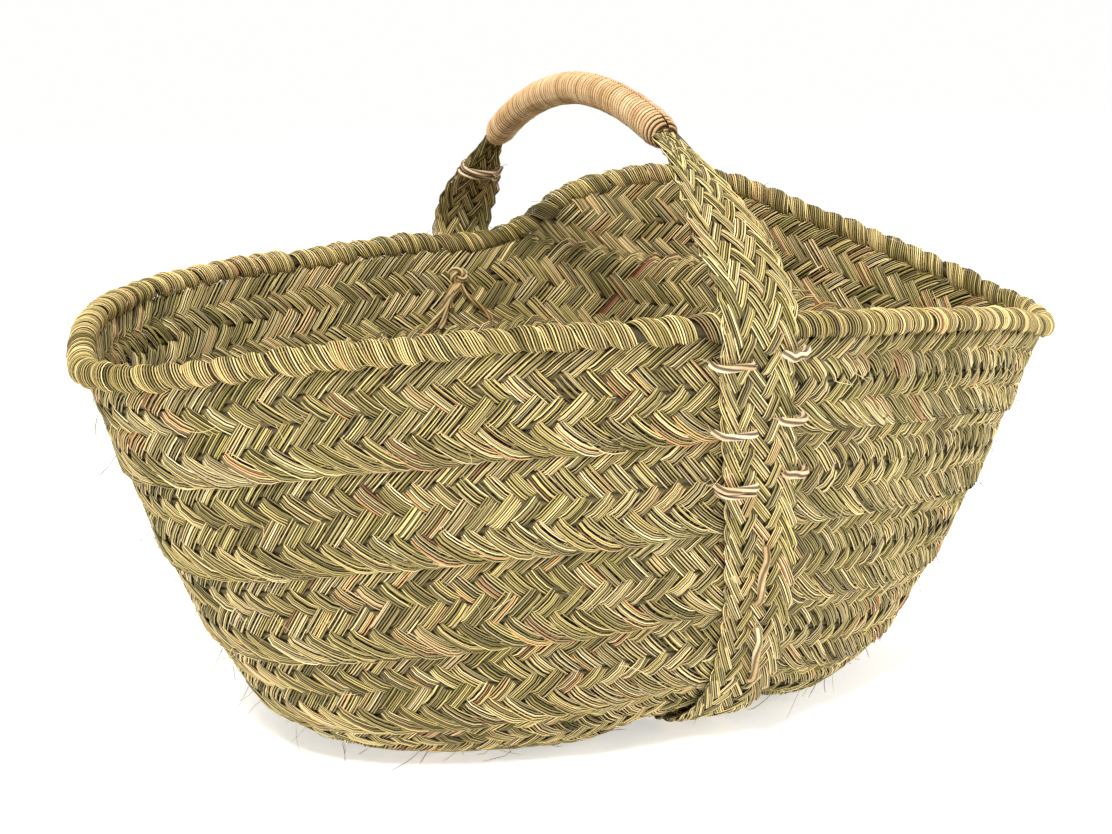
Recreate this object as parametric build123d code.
# Oval basket coiled from one flat plait, with a rolled rim and a plaited strap that runs under
# the base, up both long walls and over the top as a handle with a wound grip.
# Millimetres. It stands on z = 0; x runs along its length, y from the near wall (-y) to the
# far wall (+y). Angles are in degrees from +x towards +y.
from build123d import *
import os
from bisect import bisect_right
from functools import lru_cache
from math import copysign, cos, pi, radians, sin, sqrt

os.makedirs("parts", exist_ok=True)

# ---------------------------------------------------------------- wall plait
BAND_T = 7.0            # thickness
BAND_GAP = 3.8          # gap between neighbouring turns
TURNS = 7
TURNS_AT_START = 6.05   # plait widths from rim to base centre where the plait ends
NOTCH = 84.0            # angle where the plait ends at the rim
PLAIT_END = NOTCH + 360.0
TAPER = 26.0            # last degrees of the plait, cut down to the rim of the turn below
END_GAP = 0.25          # degrees left free at each end of a turn
INNER_START = 42.0      # degrees past NOTCH where the innermost turn starts
CENTRE_GAP = 1.6        # left free at the base centre
SEAM_R = 1.0            # sewing cord between turns
SEAM_END_GAP = 0.6
SEAM_INNER_START = 50.0

# ------------------------------------------------------------- basket shape
BASE_A, BASE_B = 199.0, 113.0   # half length and half width of the base
BASE_EXP = 0.85
BASE_X = 1.4            # sideways place of the base centre
BASE_SEG = 88.0         # half length of the line the spiral starts round
CORNER = 46.0           # rounding between base and wall
BULGE = 15.0            # outward belly of the wall
WALL_STEPS, CORNER_STEPS, FLAT_STEPS = 60, 14, 20

# ---------------------------------------------------------------------- rim
ROLL_R = 8.0            # outside of the rolled rim
ROLL_CORE_R = 4.2
ROLL_STATIONS = 96
RIM_DELTA = 1.2         # degrees either side, for the rim's direction

# -------------------------------------------------------------------- strap
STRAP_T, STRAP_W = 8.0, 47.0
STRAP_EXP = 0.45        # roundness of the flat section; 1 is an ellipse
STRAP_CLEAR = 1.9       # gap to the wall
ROLL_OFF = ROLL_R + 0.8     # distance from the rim's centre line before STRAP_CLEAR
BASE_STRAP_Z = 3.59
BASE_STRAP_X_SHARE = 0.97
STRAP_BASE_X = 47.0     # sideways place under the near half of the base
STRAP_LIFT = 9.84       # how far the strap presses the base up
FAR_X = 0.9             # sideways place on the far wall
# Near wall: share of the profile below the rim, sideways place
NEAR_X = [(0.0, 8.0), (0.08, 14.5), (0.15, 20.8), (0.3, 34.0), (0.45, 46.0), (0.52, 49.0),
          (0.6, 51.5), (0.68, 51.0), (0.75, 49.5), (0.84, 47.0), (1.0, 47.0)]
# Stations of the strap: shares of the wall profile, and shares of the arch from near to far
WALL_SHARES = [0.01, 0.04, 0.08, 0.13, 0.2, 0.28, 0.36, 0.44, 0.52, 0.58, 0.63, 0.67, 0.70,
               0.73, 0.76, 0.79, 0.82]
BASE_YS = range(-56, 57, 14)
NEAR_ARCH = [0.52, 0.5, 0.46, 0.42, 0.38, 0.34, 0.30, 0.26, 0.22, 0.18, 0.14, 0.10, 0.06, 0.03]
FAR_ARCH = [0.97, 0.94, 0.90, 0.86, 0.82, 0.78, 0.745, 0.70, 0.66, 0.62, 0.58, 0.55, 0.52]

ARCH_H, ARCH_SHIFT, ARCH_LEAN, ARCH_EXP = 123.1, 13.5, 2.8, 1.075
ARCH_DELTA = 0.004      # share of the arch either side, for its direction
HINGE_SHARE = 0.105     # where the free strap bends, as a share of the arch
HINGE_R = 27.8
HINGE_GAP = 0.4

# --------------------------------------------------------------------- grip
GRIP_R = 10.6           # wound grip, outside
GRIP_CORE_R = 7.6
GRIP_FROM, GRIP_TO = 0.30, 0.745    # shares of the arch
FLAT_BELOW, FLAT_ABOVE = 0.12, 0.90     # the strap is flat outside these shares
NEAR_CHANGE, FAR_CHANGE = 0.17, 0.145   # shares over which it turns round
TIE_SHARE, TIE_R, TIE_MARGIN = 0.83, 2.2, 3.4

# -------------------------------------------------------------------- cords
CORD_R = 2.3            # stitch cord
STITCH_ROWS = (0.032, 0.138, 0.223)     # shares of the profile below the rim
STITCH_SKEW = 0.007     # one end of a row sits higher by this share, the other lower
LACING_R = 1.5
# Cord on the near strap: from share, to share, from x, to x (from the strap's centre)
LACINGS = [(0.335, 0.44, 1.0, -3.5), (0.485, 0.60, -1.0, 4.0)]

KNOT_ANGLE, KNOT_DEPTH, KNOT_R = 92.2, 25.0, 7.6
KNOT_OFF = 8.6          # knot centre from the inner face of the wall
TAIL_R, TAIL_TOP = 1.7, 41.0
TAILS = [(4.6, 74.0), (-3.4, 62.0), (1.0, 50.0)]    # degrees of drift, depth of the lower end
TAIL_DRIFT = 1.2        # factor on the drift

# Centre line of the rolled rim (x, y, z), at equal angle steps from +x
RIM = [
    (358.1, -15.0, 248.1), (346.1, 13.8, 258.1), (325.1, 44.3, 272.8), (298.6, 74.6, 288.1),
    (268.5, 103.8, 304.0), (238.2, 129.9, 318.6), (207.8, 152.4, 333.5), (177.2, 171.0, 340.8),
    (145.5, 185.5, 342.6), (112.9, 196.0, 337.4), (79.1, 202.6, 326.3), (44.0, 205.4, 303.4),
    (1.7, 208.2, 293.8), (-43.3, 209.5, 295.1), (-88.4, 208.2, 291.5), (-131.8, 203.7, 287.9),
    (-171.7, 195.2, 286.1), (-207.5, 182.4, 283.6), (-237.2, 164.6, 280.9),
    (-260.6, 142.1, 279.0), (-279.3, 115.8, 277.2), (-294.4, 87.2, 275.3),
    (-305.7, 57.4, 272.4), (-313.4, 27.9, 269.6), (-318.8, -0.2, 266.8),
    (-322.6, -26.1, 262.6), (-323.5, -50.0, 260.4), (-318.2, -72.4, 260.5),
    (-303.9, -94.5, 261.3), (-280.3, -116.8, 264.5), (-248.4, -139.2, 270.6),
    (-209.4, -161.8, 276.7), (-166.5, -183.3, 280.3), (-120.3, -202.8, 285.9),
    (-74.9, -218.4, 286.6), (-31.8, -228.4, 288.5), (8.8, -232.3, 288.4),
    (44.7, -228.7, 285.9), (78.7, -218.8, 283.3), (112.1, -203.7, 279.9),
    (146.2, -185.0, 275.7), (181.9, -164.3, 270.8), (218.9, -143.0, 266.2),
    (255.7, -121.8, 261.3), (289.5, -100.5, 254.2), (318.0, -79.4, 247.0),
    (339.7, -58.2, 242.4), (354.2, -37.5, 242.6),
]

X_AXIS, Z_AXIS, DOWN = (1.0, 0.0, 0.0), (0.0, 0.0, 1.0), (0.0, 0.0, -1.0)


# ------------------------------------------------------- numbers and vectors
def move(point, direction, distance=1.0):
    return tuple(p + distance * d for p, d in zip(point, direction))


def minus(a, b):
    return tuple(p - q for p, q in zip(a, b))


def dot(a, b):
    return a[0] * b[0] + a[1] * b[1] + a[2] * b[2]


def cross(a, b):
    return (a[1] * b[2] - a[2] * b[1], a[2] * b[0] - a[0] * b[2], a[0] * b[1] - a[1] * b[0])


def length(a):
    return sqrt(dot(a, a))


def unit(a):
    size = length(a)
    return tuple(p / size for p in a)


def facing(vector, direction):
    """The vector, turned round if it points against direction."""
    return vector if dot(vector, direction) >= 0 else tuple(-p for p in vector)


def blend(a, b, share):
    return a * (1 - share) + b * share


def between(a, b, share):
    return tuple(blend(p, q, share) for p, q in zip(a, b))


def smooth(share):
    share = max(0.0, min(1.0, share))
    return share * share * (3 - 2 * share)


def signed_power(value, exponent):
    return copysign(abs(value) ** exponent, value)


def spaced(start, stop, steps):
    return [start + (stop - start) * i / steps for i in range(steps + 1)]


def running_lengths(points):
    lengths = [0.0]
    for a, b in zip(points, points[1:]):
        lengths.append(lengths[-1] + max(length(minus(b, a)), 1e-3))
    return lengths


def tangents(points, closed=False):
    first, last = (points[-1], points[0]) if closed else (points[0], points[-1])
    padded = [first] + points + [last]
    return [unit(minus(after, before)) for before, after in zip(padded, padded[2:])]


# ------------------------------------------------------------ basket surface
def rim_point(deg):
    """Catmull-Rom curve through the RIM points."""
    place = (deg % 360.0) * len(RIM) / 360.0
    i = int(place)
    t = place - i
    around = [RIM[(i + k) % len(RIM)] for k in (-1, 0, 1, 2)]
    return tuple(
        0.5 * (2 * b + (c - a) * t + (2 * a - 5 * b + 4 * c - d) * t * t
               + (3 * b - a - 3 * c + d) * t ** 3)
        for a, b, c, d in zip(*around))


def rim_tangent(deg):
    return unit(minus(rim_point(deg + RIM_DELTA), rim_point(deg - RIM_DELTA)))


def base_edge(deg):
    return (BASE_A * signed_power(cos(radians(deg)), BASE_EXP) + BASE_X,
            BASE_B * signed_power(sin(radians(deg)), BASE_EXP), BAND_T / 2)


def strap_x(y):
    """Sideways place of the strap under the base."""
    return STRAP_BASE_X * smooth(-y / 66.0)


def lift(point):
    """Raise the base over the strap, fading out sideways and up the wall."""
    x, y, z = point
    share = 1 - smooth((abs(x - strap_x(y)) - 31.0) / 60.0)
    share *= 1 - smooth((z - 12.0) / 60.0)
    return (x, y, z + STRAP_LIFT * share)


@lru_cache(maxsize=None)
def profile(deg):
    """Middle surface from the rim to the base centre: points and their running lengths."""
    rim, edge = rim_point(deg), base_edge(deg)
    centre = (BASE_SEG * cos(radians(deg)) + BASE_X, 0.0, BAND_T / 2)
    outward = unit(minus(edge, centre))
    wall = [move(between(rim, edge, t), outward, BULGE * 4 * t * (1 - t) * (0.55 + 0.9 * t))
            for t in spaced(0.0, 1.0, WALL_STEPS)]
    # the rounded corner starts CORNER up the wall and ends CORNER in on the base
    climbed, k = 0.0, WALL_STEPS
    while climbed < CORNER and k > 1:
        climbed += length(minus(wall[k], wall[k - 1]))
        k -= 1
    inset = min(CORNER, length(minus(edge, centre)) * 0.6)
    corner_end = move(edge, outward, -inset)
    corner = [tuple(a * (1 - t) ** 2 + b * 2 * t * (1 - t) + c * t * t
                    for a, b, c in zip(wall[k], edge, corner_end))
              for t in spaced(0.0, 1.0, CORNER_STEPS)[1:]]
    flat = [between(corner_end, centre, t) for t in spaced(0.0, 1.0, FLAT_STEPS)[1:]]
    points = [lift(p) for p in wall[:k + 1] + corner + flat]
    return points, running_lengths(points)


def profile_length(deg):
    return profile(deg)[1][-1]


def surface_point(deg, depth):
    """Point of the middle surface, depth along the profile below the rim."""
    points, lengths = profile(deg)
    if depth <= 0:
        return move(points[0], unit(minus(points[1], points[0])), depth)
    if depth >= lengths[-1]:
        return points[-1]
    i = bisect_right(lengths, depth) - 1
    share = (depth - lengths[i]) / (lengths[i + 1] - lengths[i])
    return between(points[i], points[i + 1], share)


def surface_normal(deg, depth):
    """Outward normal of the middle surface, straight down near the base centre."""
    total = profile_length(deg)
    if depth > total - 6:
        return DOWN
    share = max(0.0, depth / total)
    before, after = deg - 1.5, deg + 1.5
    down = minus(surface_point(deg, share * total + 3), surface_point(deg, share * total - 3))
    along = minus(surface_point(after, share * profile_length(after)),
                  surface_point(before, share * profile_length(before)))
    x, y, z = surface_point(deg, share * total)
    return facing(unit(cross(down, along)), (x, y, -60.0 if z < 60 else 0.0))


# -------------------------------------------- plait, NOTCH to PLAIT_END a turn
def turn_count(deg):
    return TURNS_AT_START + (deg - NOTCH) / 360.0


def pitch(deg):
    """Width of one turn with its gap."""
    left = PLAIT_END - deg
    if left >= TAPER:
        return profile_length(deg) / turn_count(deg)
    before = profile_length(NOTCH - TAPER) / turn_count(PLAIT_END - TAPER)
    after = profile_length(NOTCH) / TURNS_AT_START
    return before + (after - before) * smooth(1 - left / TAPER)


def cut(deg):
    """Width of the last turn that is cut away near the plait's end."""
    if PLAIT_END - deg >= TAPER:
        return 0.0
    return max(0.0, pitch(deg) * turn_count(deg) - profile_length(deg))


def band_point(deg, depth):
    """Middle surface; depth is measured from the uncut rim."""
    return surface_point(deg, depth - cut(deg))


def band_normal(deg, depth):
    return surface_normal(deg, depth - cut(deg))


def clear_of_roll(deg):
    """Step back from the plait's end until the top turn has width left below the roll."""
    while cut(deg) + ROLL_R + 4.0 > pitch(deg) - BAND_GAP / 2:
        deg -= 0.25
    return deg


# ------------------------------------------------------------------ builders
def quad(a, b, c, d):
    """Ruled face between the lines a-b and c-d."""
    return Face.make_surface_from_curves(Edge.make_line(Vector(*a), Vector(*b)),
                                         Edge.make_line(Vector(*c), Vector(*d)))


def side_faces(stations, centres):
    """Ruled faces between splines through matching corners of the stations."""
    lengths = running_lengths(centres)
    parameters = [s / lengths[-1] for s in lengths]
    rails = [Edge.make_spline([Vector(*p) for p in corner], parameters=parameters)
             for corner in zip(*stations)]
    return [Face.make_surface_from_curves(a, b) for a, b in zip(rails, rails[1:] + rails[:1])]


def sewn_solid(faces):
    body = Solid(Shell(Face.sew_faces(faces)[0]))
    return -body if body.volume < 0 else body


def strip(stations, closed=False):
    """Solid through polygons with equal corner counts; a closed one ends on its first."""
    centres = [tuple(sum(values) / len(s) for values in zip(*s)) for s in stations]
    if closed:
        half = len(stations) // 2
        return sewn_solid(side_faces(stations[:half + 1], centres[:half + 1])
                          + side_faces(stations[half:], centres[half:]))
    faces = side_faces(stations, centres)
    for end in (stations[0], stations[-1]):
        if len(end) == 4:
            faces.append(quad(end[0], end[1], end[3], end[2]))
        else:
            faces.append(Face(Wire.make_polygon([Vector(*p) for p in end], close=True)))
    return sewn_solid(faces)


def arc(centre, u, w, radius, angles):
    return [move(move(centre, u, radius * cos(g)), w, radius * sin(g)) for g in angles]


def hexagon(centre, u, w, radius):
    return arc(centre, u, w, radius, [pi * k / 3 for k in range(6)])


def slit_ring(centre, u, w, radii, slit_angle, half_slits, steps):
    """C-shaped outline; radii and half_slits (degrees) are given outer first."""
    outer, inner = [
        arc(centre, u, w, radius, spaced(slit_angle + radians(half),
                                         slit_angle + 2 * pi - radians(half), steps))
        for radius, half in zip(radii, half_slits)]
    return outer + inner[::-1]


def rod(points, radius, closed=False):
    """Six-sided rod along points."""
    directions = tangents(points, closed)
    w = Z_AXIS if abs(directions[0][2]) < 0.9 else X_AXIS
    stations = []
    for point, direction in zip(points, directions):
        u = unit(cross(w, direction))
        w = cross(direction, u)
        stations.append(hexagon(point, u, w, radius))
    if closed:
        stations.append(stations[0])
    return strip(stations, closed)


def save(name, bodies):
    part = bodies[0] if len(bodies) == 1 else Compound(children=list(bodies))
    export_step(part, f"parts/{name}.step")


# --------------------------------------------------------- plait and its seam
def plait_station(deg, turn):
    """Six corners: three across the outer face, three back across the inner one."""
    width = pitch(deg)
    # clear of the roll, also where the rim slopes
    slope = rim_tangent(deg)[2]
    roll = cut(deg) + (ROLL_R + 1.1) / sqrt(1 - slope * slope)
    top = max(turn * width + BAND_GAP / 2, roll)
    bottom = min((turn + 1) * width - BAND_GAP / 2,
                 profile_length(deg) + cut(deg) - CENTRE_GAP)
    outer, inner = [], []
    for depth in spaced(top, bottom, 2):
        point, normal = band_point(deg, depth), band_normal(deg, depth)
        outer.append(move(point, normal, BAND_T / 2))
        inner.append(move(point, normal, -BAND_T / 2))
    return outer + inner[::-1]


def plait_turn(turn):
    """One turn of the plait; turn 0 is at the rim."""
    start = NOTCH + (INNER_START if turn == TURNS - 1 else END_GAP)
    end = PLAIT_END - END_GAP
    if turn == 0:
        end = clear_of_roll(end)
    angles = spaced(start, end, int(round((end - start) / 5.0)))
    stations = [plait_station(deg, turn) for deg in angles]
    faces = side_faces(stations, [s[1] for s in stations])
    for s in (stations[0], stations[-1]):
        faces += [quad(s[0], s[1], s[5], s[4]), quad(s[1], s[2], s[4], s[3])]
    return sewn_solid(faces)


def seam_cord(turn):
    """Square cord in the gap above the given turn."""
    start = NOTCH + (SEAM_INNER_START if turn == TURNS - 1 else SEAM_END_GAP)
    end = PLAIT_END - SEAM_END_GAP
    if turn == 1:
        end = clear_of_roll(end)

    def seam_point(deg):
        return band_point(deg, turn * pitch(deg))

    stations = []
    for deg in spaced(start, end, int(round((end - start) / 6.0))):
        point, normal = seam_point(deg), band_normal(deg, turn * pitch(deg))
        before, after = max(start, deg - 0.8), min(end, deg + 0.8)
        across = unit(cross(normal, unit(minus(seam_point(after), seam_point(before)))))
        stations.append([move(point, normal, SEAM_R), move(point, across, SEAM_R),
                         move(point, normal, -SEAM_R), move(point, across, -SEAM_R)])
    return strip(stations)


# ----------------------------------------------------------------- rim roll
def rim_roll():
    """Round core, and a whipping round it that is open along its underside."""
    core, whipping = [], []
    for i in range(ROLL_STATIONS):
        deg = 360.0 * i / ROLL_STATIONS
        point, direction = rim_point(deg), rim_tangent(deg)
        side = unit(cross(direction, Z_AXIS))
        down = facing(cross(direction, side), DOWN)
        core.append(hexagon(point, side, down, ROLL_CORE_R))
        whipping.append(slit_ring(point, side, down, (ROLL_R, ROLL_CORE_R + 0.5),
                                  pi / 2, (22, 30), 10))
    return strip(core + core[:1], True), strip(whipping + whipping[:1], True)


# -------------------------------------------------------------------- strap
def find_angle(share, x, low, high):
    """Angle between low and high where the profile at this share has sideways place x."""
    def x_at(deg):
        return surface_point(deg, share * profile_length(deg))[0]

    falling = x_at(high) < x_at(low)
    for _ in range(40):
        middle = (low + high) / 2
        if (x_at(middle) < x) != falling:
            low = middle
        else:
            high = middle
    return (low + high) / 2


def near_x(share):
    for (a, xa), (b, xb) in zip(NEAR_X, NEAR_X[1:]):
        if share <= b:
            return xa + (xb - xa) * (share - a) / (b - a)


def wall_station(side, share):
    """Strap centre and outward normal on the near (-1) or far (1) wall."""
    if side < 0:
        deg = find_angle(share, near_x(share), 250.0, 300.0)
    else:
        deg = find_angle(share, FAR_X, 70.0, 110.0)
    depth = share * profile_length(deg)
    _, y, z = surface_normal(deg, depth)
    normal = unit((0.0, y, z))
    off = (STRAP_CLEAR + STRAP_T / 2
           + blend(BAND_T / 2, ROLL_OFF, 1 - smooth(share / 0.07)))
    return move(surface_point(deg, depth), normal, off), normal


def arch_point(t):
    """Line over the top, from the near rim (t = 0) to the far rim (t = 1)."""
    _, near_y, near_z = rim_point(270.0)
    _, far_y, far_z = rim_point(90.0)
    c, s = cos(pi * t), sin(pi * t)
    return (blend(NEAR_X[0][1], FAR_X, t) + ARCH_LEAN * s,
            (near_y + far_y) / 2 + ARCH_SHIFT * s
            - (far_y - near_y) / 2 * signed_power(c, ARCH_EXP),
            blend(near_z, far_z, t) + ARCH_H * abs(s) ** ARCH_EXP)


def arch_station(t):
    """Strap centre and outward normal on the arch, moved off the roll near both rims."""
    direction = unit(minus(arch_point(min(1, t + ARCH_DELTA)),
                           arch_point(max(0, t - ARCH_DELTA))))
    if 0.1 < t < 0.9:
        outward = Z_AXIS
    else:
        outward = (0.0, -1.0 if t <= 0.1 else 1.0, 0.0)
    normal = facing(unit(cross(direction, X_AXIS)), outward)
    share = (1 - smooth(t / 0.16)) + (1 - smooth((1 - t) / 0.16))
    off = (STRAP_CLEAR + STRAP_T / 2 + ROLL_OFF) * share
    return move(arch_point(t), normal, off), normal


def square_up(normal, direction):
    """Across direction (towards +x) and normal, both square to direction."""
    normal = unit(move(normal, direction, -dot(normal, direction)))
    return facing(cross(direction, normal), X_AXIS), normal


def arch_frame(t):
    centre, normal = arch_station(t)
    before, after = arch_station(t - ARCH_DELTA)[0], arch_station(t + ARCH_DELTA)[0]
    across, normal = square_up(normal, unit(minus(after, before)))
    return centre, across, normal


def grip_share(t):
    """0 is flat strap, 1 is round grip core."""
    if t < GRIP_FROM:
        return smooth((t - FLAT_BELOW) / NEAR_CHANGE)
    if t > GRIP_TO:
        return smooth((FLAT_ABOVE - t) / FAR_CHANGE)
    return 1.0


def strap_outline(centre, across, normal, grip, margin=0.0, corners=12):
    half_width = blend(STRAP_W / 2, GRIP_CORE_R, grip) + margin
    half_thickness = blend(STRAP_T / 2, GRIP_CORE_R, grip) + margin
    exponent = blend(STRAP_EXP, 1.0, grip)
    points = []
    for i in range(corners):
        angle = 2 * pi * (i + 0.5) / corners
        point = move(centre, across, half_width * signed_power(cos(angle), exponent))
        points.append(move(point, normal, half_thickness * signed_power(sin(angle), exponent)))
    return points


def strap_loop():
    """Whole strap: down the near side, under the base, up the far side and over."""
    line = [(*arch_station(t), grip_share(t)) for t in NEAR_ARCH]
    line += [(*wall_station(-1, share), 0.0) for share in WALL_SHARES]
    line += [((strap_x(y) * BASE_STRAP_X_SHARE, y, BASE_STRAP_Z), DOWN, 0.0) for y in BASE_YS]
    line += [(*wall_station(1, share), 0.0) for share in reversed(WALL_SHARES)]
    line += [(*arch_station(t), grip_share(t)) for t in FAR_ARCH]
    directions = tangents([centre for centre, _, _ in line])
    stations = [strap_outline(centre, *square_up(normal, direction), grip)
                for (centre, normal, grip), direction in zip(line, directions)]
    stations[-1] = stations[0]
    # the underside is pressed flat where the basket stands on it
    return (strip(stations, True) - Pos(0, 0, -10) * Box(900, 900, 20)).solid()


def strap():
    """The free arch and the sewn part, divided along an arc round a line through both legs."""
    near, far = arch_station(HINGE_SHARE)[0], arch_station(1 - HINGE_SHARE)[0]
    axis = unit(minus(far, near))
    hinge = Plane(origin=between(near, far, 0.5), x_dir=axis,
                  z_dir=cross(axis, unit(cross(Z_AXIS, axis))))

    def free_zone(radius):
        above = hinge * Pos(0, 0, 150) * Box(900, 300, 300)
        return above + hinge * Rot(0, 90, 0) * Cylinder(radius, 900)

    loop = strap_loop()
    free = loop & free_zone(HINGE_R)
    sewn = loop - free_zone(HINGE_R + HINGE_GAP)
    return free.solids(), sewn.solids()


def grip_winding():
    """Tube round the grip core, slit along its underside."""
    return strip([slit_ring(*arch_frame(t), (GRIP_R, GRIP_CORE_R + 0.7), -pi / 2, (2.5, 2.5), 12)
                  for t in spaced(GRIP_FROM, GRIP_TO, 24)])


def grip_tie():
    """Cord ring round the strap on the far side of the grip."""
    outline = strap_outline(*arch_frame(TIE_SHARE), grip_share(TIE_SHARE), TIE_MARGIN, 24)
    return rod(outline, TIE_R, True)


# -------------------------------------------------------------------- cords
def stitch(side, share, edge):
    """Cord over the -x (-1) or +x (1) edge of the strap and down to the wall plait."""
    centre, normal = wall_station(side, share)
    top = STRAP_T / 2 + CORD_R + 0.3
    half = STRAP_W / 2
    # distance across from the strap's centre, height above it
    path = [(half - 16, top), (half - 9, top + 0.3), (half - 2, top),
            (half + 2.2, top - 2.2), (half + 3.4, top - 8.5)]
    return rod([move(move(centre, X_AXIS, edge * x), normal, y) for x, y in path], CORD_R)


def stitches(side):
    return [stitch(side, share - STITCH_SKEW * edge, edge)
            for share in STITCH_ROWS for edge in (-1, 1)]


def lacing(share_from, share_to, x_from, x_to):
    """Cord lying on the outer face of the near strap."""
    points = []
    for share, x in zip(spaced(share_from, share_to, 5), spaced(x_from, x_to, 5)):
        centre, normal = wall_station(-1, share)
        points.append(move(move(centre, normal, STRAP_T / 2 + 1.9), X_AXIS, x))
    return rod(points, LACING_R)


def inside_wall(deg, depth, off):
    """Point at distance off inward from the inner face of the wall."""
    return move(band_point(deg, depth), band_normal(deg, depth), -(BAND_T / 2 + off))


def knot():
    """Ball inside the far wall."""
    return (Pos(*inside_wall(KNOT_ANGLE, KNOT_DEPTH, KNOT_OFF)) * Sphere(KNOT_R)).solid()


def knot_tail(drift, bottom):
    """Cord hanging below the knot."""
    return rod([inside_wall(KNOT_ANGLE + drift * f * TAIL_DRIFT,
                            TAIL_TOP + (bottom - TAIL_TOP) * f, 8.0 - 3.0 * f)
                for f in spaced(0.0, 1.0, 5)], TAIL_R)


# -------------------------------------------------------------------- parts
# plait turns are numbered from the base centre outward
for turn in range(TURNS):
    save(f"plait_turn_{TURNS - turn}", [plait_turn(turn)])
save("seam_cord", [seam_cord(turn) for turn in range(1, TURNS)])

rim_core, rim_whipping = rim_roll()
save("rim_core", [rim_core])
save("rim_whipping", [rim_whipping])

strap_arch, strap_sewn = strap()
save("strap_arch", strap_arch)
save("strap_sewn", strap_sewn)
save("grip_winding", [grip_winding()])
save("grip_tie", [grip_tie()])

save("stitches_near", stitches(-1))
save("stitches_far", stitches(1))
save("strap_lacing", [lacing(*row) for row in LACINGS])
save("knot_inside", [knot()])
save("knot_tails", [knot_tail(*tail) for tail in TAILS])
